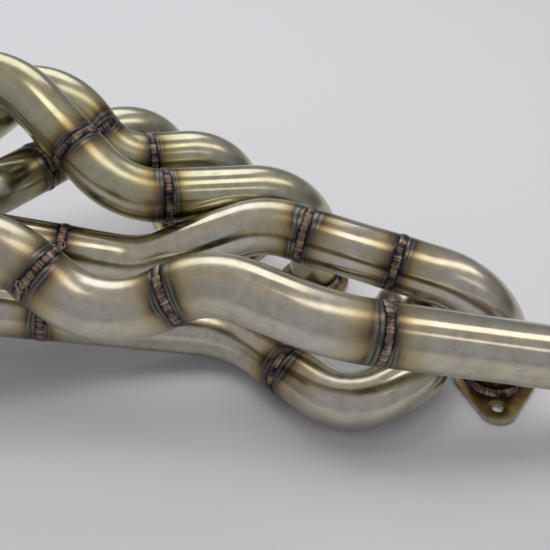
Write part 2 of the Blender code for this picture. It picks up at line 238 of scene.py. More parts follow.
# Colour of the oxide by distance from the middle of the weld, as a share of TINT_REACH. Thick oxide by the bead lies
# in thin dark rings with olive and blue-green between them, then brown and straw, and none. The alpha is how much of
# it covers the plain steel.
TINT_REACH = 34 * MM
TOE = 2.8 * MM
TORCH_WANDER = 1.5 * MM             # at most, either way
SPECK = 0.032                       # radius of a speck of scale, as a share of its 20 mm cell
HEAT_TINTS = (
    (0.00, "#453c3b", 1), (1.00, "#b2aa8c", 0), (0.085, "#28262b", 1), (0.12, "#6e675c", 0.9), (0.15, "#585a5a", 0.9),
    (0.172, "#2d2b2c", 1), (0.205, "#626a62", 0.85), (0.24, "#544c43", 0.9), (0.262, "#3b322a", 0.95),
    (0.30, "#6f5a3b", 0.9), (0.37, "#8a7345", 0.78), (0.45, "#9d8a54", 0.6), (0.58, "#aa9c68", 0.38),
    (0.76, "#b1a87c", 0.18),
)
# the same heat where one slow pass left no rings
EVEN_TINTS = (
    (0.00, "#453c3b", 1), (1.00, "#b2aa8c", 0), (0.085, "#29262c", 1), (0.115, "#37343b", 1), (0.15, "#4d4544", 0.95),
    (0.20, "#63523e", 0.9), (0.27, "#7f6b43", 0.82), (0.36, "#968250", 0.66), (0.50, "#a69866", 0.42),
    (0.72, "#b1a87c", 0.2),
)


def tinted_stainless(name, plain, straw):
    """Drawn 304 tube with a satin skin, darker and duller where the oxide is thick. plain and straw are the colours
    that the skin drifts between."""
    made, tree = new_material(name)
    skin = attribute_of(tree, "straightened", "Vector")
    nearest = calculate(tree, "MINIMUM", attribute_of(tree, "past_first"), attribute_of(tree, "to_last"))
    # the edge of each colour band wanders a little, as the torch did
    wandered = calculate(tree, "MULTIPLY_ADD", noise(tree, skin, 60, 3), 2 * TORCH_WANDER, -TORCH_WANDER)
    distance = calculate(tree, "ADD", nearest, wandered)
    # and the heat spread further on one side of each weld than on the other
    spread = remapped(tree, noise(tree, skin, 24, 1), 1.3, 0.7, 0.3, 0.7)
    beyond_toe = calculate(tree, "SUBTRACT", distance, TOE)
    spreading = calculate(tree, "MULTIPLY_ADD", beyond_toe, spread, TOE)
    share = calculate(tree, "DIVIDE", spreading, TINT_REACH)
    ringed = ramp(tree, share, HEAT_TINTS)
    even = ramp(tree, share, EVEN_TINTS)
    slow = remapped(tree, noise(tree, skin, 38, 1), 0, 1, 0.4, 0.58)
    tint = mixed(tree, slow, ringed["Color"], even["Color"])
    cover = add_node(tree, "ShaderNodeMix", {0: slow, 2: ringed["Alpha"], 3: even["Alpha"]}).outputs[0]
    # cloudy drift of the rolled skin, about 60 mm across
    clouded = ramp(tree, noise(tree, skin, 16, 3), ((0.36, plain, 1), (0.64, straw, 1)))
    # draw lines run along the tube, about 1.5 mm apart
    stretched = add_node(tree, "ShaderNodeVectorMath", {0: skin, 1: (1, 1, 0.03)}, operation="MULTIPLY")
    lines = noise(tree, stretched.outputs[0], 650, 3)
    faded = remapped(tree, lines, 0.9, 1.08)
    # handling stains, 5 to 15 mm across
    stain = noise(tree, skin, 110, 5, Roughness=0.62)
    stained = remapped(tree, stain, 0.84, 1.03, 0.35, 0.6)
    marked = calculate(tree, "MULTIPLY", faded, stained)
    steel = mixed(tree, 1, clouded["Color"], marked, "MULTIPLY")
    covered = mixed(tree, cover, steel, tint)
    # a dark speck of scale 1.3 mm across, in one cell of 20 mm out of four
    specks = add_node(tree, "ShaderNodeTexVoronoi", {"Vector": skin, "Scale": 50}).outputs
    near = calculate(tree, "LESS_THAN", specks["Distance"], SPECK)
    chosen = add_node(tree, "ShaderNodeSeparateColor", {0: specks["Color"]}).outputs[0]
    speck = calculate(tree, "MULTIPLY", near, calculate(tree, "GREATER_THAN", chosen, 0.75))
    speckled = mixed(tree, speck, covered, srgb("#2b2824"))
    # clean steel is a little duller than the stains, bends than straights, and thick oxide than thin
    drawn = remapped(tree, stain, 0.09, 0.18)
    rough = calculate(tree, "MULTIPLY_ADD", attribute_of(tree, "worked"), 0.1, drawn)
    dull = calculate(tree, "MULTIPLY_ADD", cover, 0.12, rough)
    end_metal(tree, speckled, dull, Normal=bump(tree, lines, 0.03, 0.2 * MM))
    return made


satin_stainless = tinted_stainless("satin 304 stainless tube", "#ccc4bb", "#c6c0a9")
straw_stainless = tinted_stainless("straw-tinted 304 stainless tube", "#c2bfad", "#bdb896")


def new_tree(name, sockets):
    """A geometry tree with named inputs. Returns the tree and the node that carries its inputs."""
    tree = bpy.data.node_groups.new(name, "GeometryNodeTree")
    tree.interface.new_socket("Geometry", in_out="OUTPUT", socket_type="NodeSocketGeometry")
    for label, kind in (("Geometry", "Geometry"), *sockets):
        tree.interface.new_socket(label, in_out="INPUT", socket_type="NodeSocket" + kind)
    return tree, add_node(tree, "NodeGroupInput").outputs


def end_tree(tree, geometry, material):
    """Realize Instances, smooth shading and Set Material, which end each tree."""
    whole = add_node(tree, "GeometryNodeRealizeInstances", {"Geometry": geometry})
    smooth = add_node(tree, "GeometryNodeSetShadeSmooth", {"Geometry": whole.outputs[0], "Shade Smooth": True})
    painted = add_node(tree, "GeometryNodeSetMaterial", {"Geometry": smooth.outputs[0], "Material": material})
    add_node(tree, "NodeGroupOutput", {0: painted.outputs[0]})


def recalled(tree, name, kind):
    return add_node(tree, "GeometryNodeInputNamedAttribute", {"Name": name}, data_type=kind).outputs["Attribute"]


def stored(tree, geometry, name, value, kind, domain="POINT"):
    return add_node(tree, "GeometryNodeStoreNamedAttribute", {
        "Geometry": geometry, "Name": name, "Value": value}, data_type=kind, domain=domain).outputs[0]


def in_scene(name, data):
    made = bpy.data.objects.new(name, data)
    bpy.context.scene.collection.objects.link(made)
    return made


def apply_modifiers(piece, all_layers=True):
    """Gives a piece the mesh that its modifiers make of it."""
    graph = bpy.context.evaluated_depsgraph_get()
    made = bpy.data.meshes.new_from_object(
        piece.evaluated_get(graph), preserve_all_data_layers=all_layers, depsgraph=graph)
    piece.modifiers.clear()
    piece.data = made


def grown(name, mesh, tree, values, wall=0):
    """A plain mesh piece that the tree makes from the mesh. A wall gives an open skin its thickness, inwards."""
    piece = in_scene(name, mesh)
    modifier = piece.modifiers.new("grown", "NODES")
    modifier.node_group = tree
    for item in tree.interface.items_tree:
        if item.in_out == "INPUT" and item.name in values:
            modifier[item.identifier] = values[item.name]
    if wall:
        thick = piece.modifiers.new("wall", "SOLIDIFY")
        thick.thickness = wall
        thick.offset = -1
    bpy.context.view_layer.update()
    apply_modifiers(piece)
    piece.data.name = name
    return piece


def line_mesh(name, lines, attributes):
    """A mesh of loose edges through the points of each (points, closed) line, with values for each point."""
    mesh = bpy.data.meshes.new(name)
    points = []
    edges = []
    for line, closed in lines:
        base = len(points)
        points += line
        edges += [(base + i, base + i + 1) for i in range(len(line) - 1)]
        if closed:
            edges.append((base + len(line) - 1, base))
    mesh.from_pydata(points, edges, [])
    for label, (kind, values) in attributes.items():
        attribute = mesh.attributes.new(label, kind, "POINT")
        for item, value in zip(attribute.data, values):
            if kind == "FLOAT_VECTOR":
                item.vector = value
            else:
                item.value = value
    return mesh


# The tree fillets the corners of a route, keeps one length of it, and runs the tube's skin along that.
tube_tree, given = new_tree("bent tube", (
    ("Radius", "Float"), ("Sides", "Int"), ("Bend Points", "Int"), ("Ring Spacing", "Float"), ("Start", "Float"),
    ("End", "Float"), ("First Weld", "Float"), ("Last Weld", "Float"), ("Material", "Material")))
route = add_node(tube_tree, "GeometryNodeMeshToCurve", {0: given["Geometry"]})
bent = add_node(tube_tree, "GeometryNodeFilletCurve", {
    "Curve": route.outputs[0], "Count": given["Bend Points"],
    "Radius": recalled(tube_tree, "bend_radius", "FLOAT")}, mode="POLY")
cut = add_node(tube_tree, "GeometryNodeTrimCurve", {0: bent.outputs[0], 4: given["Start"], 5: given["End"]},
               mode="LENGTH")
even = add_node(tube_tree, "GeometryNodeResampleCurve", {
    "Curve": cut.outputs[0], "Length": given["Ring Spacing"]}, mode="LENGTH")
run = add_node(tube_tree, "GeometryNodeSplineParameter").outputs["Length"]
along = calculate(tube_tree, "ADD", run, given["Start"])
past = calculate(tube_tree, "SUBTRACT", along, given["First Weld"])
left = calculate(tube_tree, "SUBTRACT", given["Last Weld"], along)
line = even.outputs[0]
for label, value in (("along", along), ("past_first", past), ("to_last", left)):
    line = stored(tube_tree, line, label, value, "FLOAT")
circle = add_node(tube_tree, "GeometryNodeCurvePrimitiveCircle", {
    "Resolution": given["Sides"], "Radius": given["Radius"]})
place = add_node(tube_tree, "GeometryNodeInputPosition").outputs[0]
marked = stored(tube_tree, circle.outputs[0], "round", place, "FLOAT_VECTOR")
skin = add_node(tube_tree, "GeometryNodeCurveToMesh", {"Curve": line, "Profile Curve": marked})
around = add_node(tube_tree, "ShaderNodeSeparateXYZ", {0: recalled(tube_tree, "round", "FLOAT_VECTOR")}).outputs
straight = add_node(tube_tree, "ShaderNodeCombineXYZ", {
    0: around[0], 1: around[1], 2: recalled(tube_tree, "along", "FLOAT")})
unrolled = stored(tube_tree, skin.outputs[0], "straightened", straight.outputs[0], "FLOAT_VECTOR")
end_tree(tube_tree, unrolled, given["Material"])

STRAW_TINTED = (1, 2, 3)
BLEND_LENGTH = 14 * MM              # over which the skin changes from drawn to stretched


def mark_bends(piece, straights):
    """How far each point's skin was stretched by the bender, from 0 on a straight to 1 on a bend."""
    along = [item.value for item in piece.data.attributes["along"].data]
    worked = piece.data.attributes.new("worked", "FLOAT", "POINT")
    for item, distance in zip(worked.data, along):
        clear = max(min(distance - start, start + length - distance) for start, _, _, length in straights)
        item.value = min(1, max(0, 0.5 - clear / BLEND_LENGTH))


for number, primary in PRIMARIES.items():
    straights, total = straights_of(number)
    corners = corners_of(number)
    radii = [0, *primary["radii"], 0]
    cuts = [distance for distance, _, _ in welds_of(number)]
    starts = [FLANGE_THICKNESS + JOIN_GAP] + [weld + JOIN_GAP / 2 for weld in cuts]
    ends = [weld - JOIN_GAP / 2 for weld in cuts] + [total]
    firsts = [FLANGE_THICKNESS] + cuts
    lasts = cuts + [total + UNWELDED]
    for length_name, start, end, first, last in zip(primary["lengths"], starts, ends, firsts, lasts):
        node = f"primary_{number}_{length_name}"
        guide = line_mesh(node, [(corners, False)], {"bend_radius": ("FLOAT", radii)})
        piece = grown(node + "_skin", guide, tube_tree, {
            "Radius": TUBE_RADIUS, "Sides": TUBE_SIDES, "Bend Points": BEND_POINTS,
            "Ring Spacing": RING_SPACING, "Start": start, "End": end,
            "First Weld": first, "Last Weld": last,
            "Material": straw_stainless if number in STRAW_TINTED else satin_stainless}, wall=TUBE_WALL)
        mark_bends(piece, straights)
        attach(piece, "header")
        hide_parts(node)


# Weld beads: 308L filler laid by TIG in overlapping puddles, which freeze as a row of fish-scale ripples about 6 mm
# wide. The oxide leaves copper, grey and blue-black patches on it.
BEAD_WIDTH = 5.8 * MM
BEAD_HEIGHT = 1.3 * MM
RIPPLE_PITCH = 1.1 * MM
RIPPLE_LENGTH = 2.4 * MM
RIPPLE_TILT = math.radians(24)
RING_POINTS = 64
PUDDLE_SIDES = 12
CRATER_HALVES = (4 * MM, 3.2 * MM)  # along the tube and round it
CRATER_RIM = 1.5 * MM
CRATER_POINTS = 16

weld_metal, tree = new_material("TIG-welded 308L stainless")
ripple_tone_and_glint = attribute_of(tree, "ripple_tone_and_glint")
place = add_node(tree, "ShaderNodeTexCoord").outputs["Object"]
# colour drifts every 8 mm or so along the bead; its jump from ripple to ripple is partly oxide, partly a painted crest
# highlight
toned_and_glinted = calculate(tree, "MULTIPLY_ADD", ripple_tone_and_glint, 0.2, noise(tree, place, 120, 3))
colour = ramp(tree, calculate(tree, "SUBTRACT", toned_and_glinted, 0.1), (
    (0.28, "#25252b", 1), (0.72, "#b5a78e", 1), (0.38, "#383841", 1), (0.44, "#4f4845", 1), (0.50, "#856858", 1),
    (0.56, "#6b6968", 1), (0.62, "#99826a", 1)))
fine = noise(tree, place, 1400, 2)
end_metal(tree, colour["Color"], 0.34, Normal=bump(tree, fine, 0.25, 0.15 * MM))

# The tree lays one tilted puddle after another along each line, as wide as the line says, facing outward.
bead_tree, given = new_tree("weld bead", (
    ("Ripple Pitch", "Float"), ("Ripple Length", "Float"), ("Bead Height", "Float"), ("Ripple Tilt", "Float"),
    ("Seed", "Int"), ("Material", "Material")))
seam = add_node(bead_tree, "GeometryNodeMeshToCurve", {0: given["Geometry"]})
spaced = add_node(bead_tree, "GeometryNodeResampleCurve", {
    "Curve": seam.outputs[0], "Length": given["Ripple Pitch"]}, mode="LENGTH")
tangent = add_node(bead_tree, "GeometryNodeInputTangent")
facing = add_node(bead_tree, "FunctionNodeAxesToRotation", {
    0: recalled(bead_tree, "outward", "FLOAT_VECTOR"), 1: tangent.outputs[0]}, primary_axis="Z", secondary_axis="X")
puddle = add_node(bead_tree, "GeometryNodeMeshUVSphere", {
    "Segments": PUDDLE_SIDES, "Rings": PUDDLE_SIDES // 2, "Radius": 0.5})
tilt = add_node(bead_tree, "ShaderNodeCombineXYZ", {1: given["Ripple Tilt"]})
tilted = add_node(bead_tree, "GeometryNodeTransform", {"Geometry": puddle.outputs[0], "Rotation": tilt.outputs[0]})
varied = add_node(bead_tree, "FunctionNodeRandomValue", {2: 0.86, 3: 1.12, "Seed": given["Seed"]},
                  data_type="FLOAT").outputs[1]
size = add_node(bead_tree, "ShaderNodeCombineXYZ", {
    0: given["Ripple Length"],
    1: calculate(bead_tree, "MULTIPLY", recalled(bead_tree, "bead_width", "FLOAT"), varied),
    2: calculate(bead_tree, "MULTIPLY", given["Bead Height"], varied)})
laid = add_node(bead_tree, "GeometryNodeInstanceOnPoints", {
    "Points": spaced.outputs[0], "Instance": tilted.outputs[0], "Rotation": facing.outputs[0],
    "Scale": size.outputs[0]})
# a random value for each ripple, which the weld metal turns partly into oxide tone and partly into a painted highlight
# on its crest
ripple_tone_and_glint_value = add_node(bead_tree, "FunctionNodeRandomValue", {2: 0.0, 3: 1.0, "Seed": given["Seed"]},
                 data_type="FLOAT").outputs[1]
end_tree(bead_tree, stored(bead_tree, laid.outputs[0], "ripple_tone_and_glint", ripple_tone_and_glint_value, "FLOAT", "INSTANCE"), given["Material"])


def ring_line(centre, direction, radius, width=BEAD_WIDTH, lean=0):
    """A weld right round a tube. lean turns its face from outwards towards the direction."""
    across = direction.orthogonal().normalized()
    other = direction.cross(across)
    points, faces = [], []
    for index in range(RING_POINTS):
        angle = math.tau * index / RING_POINTS
        radial = across * math.cos(angle) + other * math.sin(angle)
        points.append(centre + radial * radius)
        faces.append(radial * math.cos(lean) + direction * math.sin(lean))
    return points, True, faces, width


def crater_line(centre, direction, radial, radius):
    """The raised rim of the dish where a weld stops, 8 mm by 6.4 mm, on the tube's surface."""
    across = direction.cross(radial)
    half_length, half_width = CRATER_HALVES
    points = []
    for index in range(CRATER_POINTS):
        angle = math.tau * index / CRATER_POINTS
        points.append(centre + radial * radius + direction * (half_length * math.cos(angle)) +
                      across * (half_width * math.sin(angle)))
    return points, True, [radial] * CRATER_POINTS, CRATER_RIM


def beads(name, lines, body, seed):
    """A bead along each (points, closed, facings, width) line. Each piece has a seed of its own for its ripples."""
    attributes = {"outward": ("FLOAT_VECTOR", [face for line in lines for face in line[2]]),
                  "bead_width": ("FLOAT", [line[3] for line in lines for _ in line[0]])}
    guide = line_mesh(name, [line[:2] for line in lines], attributes)
    piece = grown(name, guide, bead_tree, {
        "Ripple Pitch": RIPPLE_PITCH, "Ripple Length": RIPPLE_LENGTH, "Bead Height": BEAD_HEIGHT,
        "Ripple Tilt": RIPPLE_TILT, "Seed": seed, "Material": weld_metal})
    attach(piece, body)


# which weld of a primary shows its stop, and the way that the stop faces
CRATERS = {4: (1, (0.75, -0.62, 0.24)), 5: (2, (0.59, -0.32, 0.74)), 6: (2, (0.49, -0.82, 0.29))}
for number in PRIMARIES:
    lines = []
    for index, (_, centre, direction) in enumerate(welds_of(number)):
        lines.append(ring_line(centre, direction, TUBE_RADIUS))
        stopped, facing = CRATERS.get(number, (None, None))
        if index == stopped:
            radial = (Vector(facing) - direction * direction.dot(Vector(facing))).normalized()
            lines.append(crater_line(centre, direction, radial, TUBE_RADIUS + BEAD_HEIGHT / 2))
    beads(f"primary_{number}_welds", lines, "header", number)


# Port flanges: 4 mm 304 plate, laser cut to a two-bolt diamond and drilled 8.5 mm, with a spot face at each hole. The
# tube is fillet welded on top, and the heat leaves the plate gold to brown with a dark ring by the weld.
BOLT_OFFSET = 35 * MM
HOLE_RADIUS = 4.25 * MM
SPOT_RADIUS = 6.4 * MM
SPOT_DEPTH = 0.3 * MM
LOBE_RADIUS = 14 * MM
WAIST_RADIUS = 31 * MM
FLANGE_TURN = math.radians(-55)
BORE_RADIUS = TUBE_RADIUS - TUBE_WALL
FILLET_LEG = 4.6 * MM
EDGE_ROUND = 0.35 * MM
FILLET_CENTRE = 0.36                # of the leg: how far the bead's middle is off the corner, each way
FILLET_SWELL = 1.1                  # the bead's width against that of a flat fillet
HOLE_SIDES = 32
LOBE_POINTS = 24
WAIST_POINTS = 16
PLATE_REACH = 60 * MM               # over which the plate's colour runs
PLATE_WANDER = 16 * MM              # how far the edges of its colours move

flange_plate, tree = new_material("heat-tinted 304 plate")
spot = attribute_of(tree, "from_port", "Vector")
radius = add_node(tree, "ShaderNodeVectorMath", {0: spot}, operation="LENGTH").outputs["Value"]
wandered = calculate(tree, "MULTIPLY_ADD", noise(tree, spot, 130, 5), PLATE_WANDER, radius)
tint = ramp(tree, calculate(tree, "DIVIDE", wandered, PLATE_REACH), (
    (0.44, "#2c2a33", 1), (1.0, "#979074", 1), (0.52, "#3a3236", 1), (0.58, "#5a4534", 1), (0.66, "#6f5e3b", 1),
    (0.76, "#85774c", 1), (0.86, "#837b5a", 1)))
grain = noise(tree, spot, 500, 4)
rough = remapped(tree, grain, 0.24, 0.42)
end_metal(tree, tint["Color"], rough, Normal=bump(tree, grain, 0.15, 0.1 * MM))


def cut_edge(name, code):
    """Bright steel where a cutter or a laser has passed, with fine lines across the plate's thickness."""
    made, tree = new_material(name)
    place = add_node(tree, "ShaderNodeTexCoord").outputs["Object"]
    flat = add_node(tree, "ShaderNodeVectorMath", {0: place, 1: (1, 1, 0.05)}, operation="MULTIPLY")
    lines = noise(tree, flat.outputs[0], 2200, 2)
    colour = ramp(tree, lines, ((0.3, "#98938a", 1), (0.7, code, 1)))
    end_metal(tree, colour["Color"], 0.3, Normal=bump(tree, lines, 0.1, 0.05 * MM))
    return made


laser_cut_edge = cut_edge("laser-cut 304 edge", "#c6c0b0")


def arc(centre_x, radius, first, last, steps):
    return [(centre_x + radius * math.cos(a), radius * math.sin(a))
            for a in (first + (last - first) * (index + 0.5) / steps for index in range(steps))]


def circle_of(x, y, radius, sides):
    return [(x + radius * math.cos(math.tau * i / sides), y + radius * math.sin(math.tau * i / sides))
            for i in range(sides)]


def walls(shape, low, high):
    for index in range(len(low)):
        after = (index + 1) % len(low)
        shape.faces.new((low[index], low[after], high[after], high[index]))


def plate(outline, holes, thickness):
    """A flat plate from z = 0 up, with (x, y, radius, sides, spot face radius) holes through it."""
    shape = bmesh.new()
    rims = {}
    for height in (0, thickness):
        loops = [outline] + [circle_of(x, y, spot if height and spot else hole, sides)
                             for x, y, hole, sides, spot in holes]
        rims[height] = [[shape.verts.new((x, y, height)) for x, y in loop] for loop in loops]
        edges = [shape.edges.new((loop[i - 1], loop[i])) for loop in rims[height] for i in range(len(loop))]
        bmesh.ops.triangle_fill(shape, use_beauty=True, use_dissolve=False, edges=edges)
    walls(shape, rims[0][0], rims[thickness][0])
    for low, high, (x, y, hole, sides, spot) in zip(rims[0][1:], rims[thickness][1:], holes):
        if not spot:
            walls(shape, low, high)
            continue
        floor = thickness - SPOT_DEPTH
        outer = [shape.verts.new((px, py, floor)) for px, py in circle_of(x, y, spot, sides)]
        inner = [shape.verts.new((px, py, floor)) for px, py in circle_of(x, y, hole, sides)]
        walls(shape, low, inner)
        walls(shape, inner, outer)
        walls(shape, outer, high)
    bmesh.ops.recalc_face_normals(shape, faces=shape.faces)
    return shape


def mesh_of(name, shape):
    mesh = bpy.data.meshes.new(name)
    shape.to_mesh(mesh)
    shape.free()
    return mesh


def finished(name, shape, materials, rounding, sharp=35):
    """A mesh piece from a shape, with its edges rounded over where they turn by more than sharp degrees."""
    mesh = mesh_of(name, shape)
    for each in materials:
        mesh.materials.append(each)
    piece = in_scene(name, mesh)
    rounded = piece.modifiers.new("rounded", "BEVEL")
    rounded.width = rounding
    rounded.segments = 2
    rounded.limit_method = "ANGLE"
    rounded.angle_limit = math.radians(sharp)
    apply_modifiers(piece)
    piece.data.shade_smooth()
    piece.data.set_sharp_from_angle(angle=math.radians(sharp))
    return piece


slope = math.asin((WAIST_RADIUS - LOBE_RADIUS) / BOLT_OFFSET)
flange_outline = (arc(BOLT_OFFSET, LOBE_RADIUS, slope - math.pi / 2, math.pi / 2 - slope, LOBE_POINTS)
                  + arc(0, WAIST_RADIUS, math.pi / 2 - slope, math.pi / 2 + slope, WAIST_POINTS)
                  + arc(-BOLT_OFFSET, LOBE_RADIUS, math.pi / 2 + slope, 3 * math.pi / 2 - slope, LOBE_POINTS)
                  + arc(0, WAIST_RADIUS, 3 * math.pi / 2 - slope, 3 * math.pi / 2 + slope, WAIST_POINTS))
flange_holes = [(0, 0, BORE_RADIUS, TUBE_SIDES, 0)]
flange_holes += [(x, 0, HOLE_RADIUS, HOLE_SIDES, SPOT_RADIUS) for x in (BOLT_OFFSET, -BOLT_OFFSET)]
for number, port in PORTS.items():
    shape = plate(flange_outline, flange_holes, FLANGE_THICKNESS)
    bmesh.ops.transform(shape, verts=shape.verts, matrix=Matrix.Rotation(FLANGE_TURN, 4, "Z"))
    bmesh.ops.translate(shape, verts=shape.verts, vec=port)
    for face in shape.faces:
        face.material_index = 0 if abs(face.normal.z) > 0.7 else 1
    piece = finished(f"port_flange_{number}_plate", shape, (flange_plate, laser_cut_edge), EDGE_ROUND)
    from_port = piece.data.attributes.new("from_port", "FLOAT_VECTOR", "POINT")
    for item, vertex in zip(from_port.data, piece.data.vertices):
        item.vector = vertex.co - port
    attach(piece, "header")
    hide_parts(f"port_flange_{number}")
    fillet = ring_line(port + Vector((0, 0, FLANGE_THICKNESS + FILLET_LEG * FILLET_CENTRE)), Vector((0, 0, 1)),
                       TUBE_RADIUS + FILLET_LEG * FILLET_CENTRE, FILLET_LEG * math.sqrt(2) * FILLET_SWELL,
                       math.radians(45))
    beads(f"port_flange_{number}_weld", [fillet], "header", 20 + number)


# Collectors: three short sockets of the same stainless sheet, formed so that they run together into one 63.5 mm
# throat, and TIG welded down the valleys between them. The primaries' ends slip in without any weld.
SOCKET_DEPTH = 42 * MM
MERGE_END = 147 * MM
BODY_LENGTH = 171 * MM
THROAT_RADIUS = 31.75 * MM
COLLECTOR_WALL = 1.5 * MM
MERGED_OFFSET = 0.25                # how far out the three lobes still stand at the throat
CONE_OVERLAP = 45 * MM
LOBE_STEPS = 24
LOBE_SIDES = 64
SEAM_WIDTH = 5 * MM
SEAM_START = 3 * MM
SEAM_SINK = 0.2 * MM                # so that the bead's foot is under the sheet
SEAM_POINTS = 60
LOBE_INSET = 1 * MM                 # of the lobes inside the cone, at the throat
CUTTER_START = -1 * MM              # clear of the mouth
SHEET_WANDER = 7 * MM               # how far the edges of its colours move

formed_sheet, tree = new_material("formed 304 sheet, satin")
place = add_node(tree, "ShaderNodeTexCoord").outputs["Object"]
past = attribute_of(tree, "from_seam")
distance = calculate(tree, "MULTIPLY_ADD", noise(tree, place, 60, 3), SHEET_WANDER, past)
tint = ramp(tree, calculate(tree, "DIVIDE", distance, TINT_REACH), HEAT_TINTS)
cloud = noise(tree, place, 22, 4)
clouded = ramp(tree, cloud, ((0.36, "#a19d94", 1), (0.64, "#b3ab8e", 1)))
covered = mixed(tree, tint["Alpha"], clouded["Color"], tint["Color"])
rough = remapped(tree, cloud, 0.18, 0.3)
grain = noise(tree, place, 900, 3)
end_metal(tree, covered, rough, Normal=bump(tree, grain, 0.06, 0.2 * MM))


def eased(share):
    return share * share * (3 - 2 * share)


def lobe_at(along):
    """(distance off the collector's axis, outside radius) of one socket at a distance from the mouth."""
    share = eased(min(1, max(0, (along - SOCKET_DEPTH) / (MERGE_END - SOCKET_DEPTH))))
    last = SOCKET_OFFSET * MERGED_OFFSET
    return (SOCKET_OFFSET + (last - SOCKET_OFFSET) * share,
            SOCKET_RADIUS + (THROAT_RADIUS - last - LOBE_INSET - SOCKET_RADIUS) * share)


def cone_radius(along):
    share = eased(min(1, max(0, (along - MERGE_END + CONE_OVERLAP) / CONE_OVERLAP)))
    return SOCKET_RADIUS + (THROAT_RADIUS - SOCKET_RADIUS) * share


def ring_at(shape, centre, radius, sides):
    """The corners of a ring square to the collectors' axis."""
    turns = [math.tau * index / sides for index in range(sides)]
    return [shape.verts.new(centre + (UP * math.cos(a) + SIDE * math.sin(a)) * radius) for a in turns]


def rod(mouth, profile):
    """A closed rod through (distance, offset, radius) rings."""
    shape = bmesh.new()
    rings = [ring_at(shape, mouth + AXIS * along + offset, radius, LOBE_SIDES) for along, offset, radius in profile]
    for first, second in zip(rings, rings[1:]):
        walls(shape, first, second)
    shape.faces.new(rings[0])
    shape.faces.new(rings[-1])
    bmesh.ops.recalc_face_normals(shape, faces=shape.faces)
    return in_scene("rod", mesh_of("rod", shape))


def combine(target, tool, operation):
    modifier = target.modifiers.new("combine", "BOOLEAN")
    modifier.operation = operation
    modifier.solver = "MANIFOLD"
    modifier.object = tool
    apply_modifiers(target, all_layers=False)
    bpy.data.objects.remove(tool)


def run_together(mouth, directions, shrink, start):
    """The three lobes and the cone that rounds them into the throat, as one closed solid."""
    stations = [start] + [SOCKET_DEPTH + (MERGE_END - SOCKET_DEPTH) * i / LOBE_STEPS for i in range(LOBE_STEPS + 1)]
    rods = []
    for direction in directions:
        profile = [(along, direction * lobe_at(along)[0], lobe_at(along)[1] - shrink) for along in stations]
        rods.append(rod(mouth, profile))
    cone = [MERGE_END - CONE_OVERLAP * (1 - i / LOBE_STEPS) for i in range(LOBE_STEPS + 1)] + [BODY_LENGTH - start]
    rods.append(rod(mouth, [(along, Vector((0, 0, 0)), cone_radius(along) - shrink) for along in cone]))
    for other in rods[1:]:
        combine(rods[0], other, "UNION")
    return rods[0]


def valley_lines(mouth, directions):
    """The three seams between the lobes, from near the mouth to where the cone takes over."""
    lines = []
    for direction in directions:
        points = []
        for index in range(SEAM_POINTS):
            along = SEAM_START + (MERGE_END - SEAM_START) * index / SEAM_POINTS
            offset, radius = lobe_at(along)
            half = offset * math.sin(math.radians(60))
            out = offset * math.cos(math.radians(60)) + math.sqrt(max(0, radius ** 2 - half ** 2))
            if cone_radius(along) > out and along > MERGE_END - CONE_OVERLAP:
                break
            points.append(mouth + AXIS * along - direction * (out - SEAM_SINK))
        lines.append((points, False, [-direction] * len(points), SEAM_WIDTH))
    return lines


for name, mouth in MOUTHS.items():
    directions = [socket_direction(number) for number in SERVED[name]]
    shell = run_together(mouth, directions, 0, 0)
    combine(shell, run_together(mouth, directions, COLLECTOR_WALL, CUTTER_START), "DIFFERENCE")
    shell.name = shell.data.name = f"collector_{name}_shell"
    shell.data.materials.clear()        # the Booleans leave an empty slot
    shell.data.materials.append(formed_sheet)
    shell.data.shade_smooth()
    shell.data.set_sharp_from_angle(angle=math.radians(32))
    seams = valley_lines(mouth, directions)
    from_seam = shell.data.attributes.new("from_seam", "FLOAT", "POINT")
    seam_points = [point for line in seams for point in line[0]]
    for item, vertex in zip(from_seam.data, shell.data.vertices):
        along = (vertex.co - mouth).dot(AXIS)
        item.value = min(min((vertex.co - point).length for point in seam_points), abs(BODY_LENGTH - along))
    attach(shell, f"collector_{name}")
    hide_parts(f"collector_{name}_body")
    beads(f"collector_{name}_seams", seams, f"collector_{name}", 30 + name)


# Outlets: a 60 mm length of 63.5 mm stainless tube on each collector's throat, with a machined rim for a band clamp.
# Both are TIG welded on, so they carry the same heat colours.
OUTLET_LENGTH = 60 * MM
RIM_RADIUS = 42 * MM
RIM_THICKNESS = 8 * MM
RIM_LIP = 3 * MM
RIM_ROUND = 0.5 * MM
RIM_FOOT = 1 * MM                   # wider than the tube, where the rim starts
RIM_STEP = 4 * MM                   # from the cone up to the lip
OUTLET_SIDES = 72
RIM_BEAD = BEAD_WIDTH * 0.7

